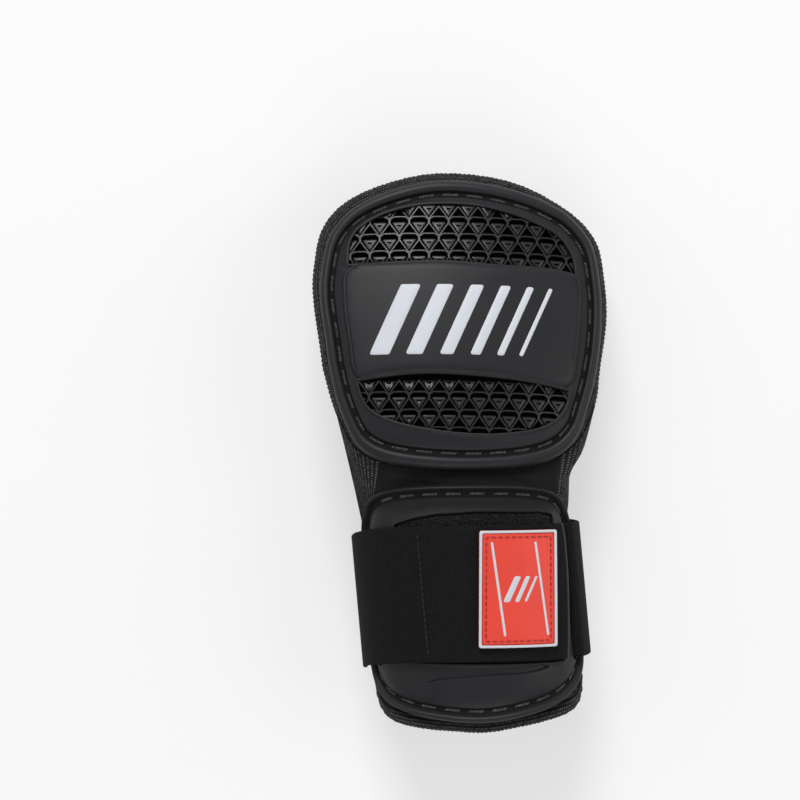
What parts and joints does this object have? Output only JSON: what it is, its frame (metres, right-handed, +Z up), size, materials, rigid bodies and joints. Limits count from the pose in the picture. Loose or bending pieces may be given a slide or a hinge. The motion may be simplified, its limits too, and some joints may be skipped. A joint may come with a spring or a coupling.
{
  "type": "batting hand protector",
  "caption": "Padded guard for the back of the hand and wrist with moulded shells, a lattice insert, a fabric neck and a hook and loop wrist strap.",
  "frame": {"origin": "middle of the whole guard's footprint, on the surface it lies on", "axes": "+Y towards the finger end, +Z up out of the shells, +X towards the little finger of a right hand"},
  "size_m": [0.112, 0.2112, 0.0634],
  "materials": {
    "shell_rubber": "matte moulded rubber",
    "lattice_rubber": "semi-gloss moulded rubber",
    "mesh_fabric": "black knitted mesh",
    "smooth_fabric": "smooth black stretch fabric",
    "foam": "closed-cell foam",
    "lining": "soft brushed lining",
    "elastic": "ribbed elastic webbing",
    "loop_pile": "fuzzy loop pile",
    "hook_tape": "hook tape",
    "label_red": "satin moulded rubber",
    "label_white": "satin moulded rubber"
  },
  "bodies": {
    "wrist": {"wrist_shell": "shell_rubber", "wrist_cover": "mesh_fabric", "wrist_foam": "foam", "wrist_liner": "lining", "loop_patch": "loop_pile", "strap_wrap": "elastic", "neck_panel": "smooth_fabric", "neck_mesh_left": "mesh_fabric", "neck_mesh_right": "mesh_fabric"},
    "hand": {"hand_shell": "shell_rubber", "lattice_insert": "lattice_rubber", "hand_cover": "mesh_fabric", "hand_foam": "foam", "hand_liner": "lining", "finger_loop_middle": "elastic", "finger_loop_ring": "elastic"},
    "flap": {"strap_flap": "elastic", "hook_patch": "hook_tape", "label_base": "label_red", "label_border": "label_white"}
  },
  "joints": [
    {"name": "wrist_flex", "type": "hinge", "parent": "wrist", "child": "hand", "pos_m": [-0.00002, -0.00951, 0.04869], "axis": [1, 0, 0], "range_deg": [-30, 34], "deforming": ["neck_panel", "neck_mesh_left", "neck_mesh_right"]},
    {"name": "strap_peel", "type": "hinge", "parent": "wrist", "child": "flap", "pos_m": [-0.03968, -0.05201, 0.0273], "axis": [0.0896, -0.996, 0], "range_deg": [0, 150]}
  ]
}
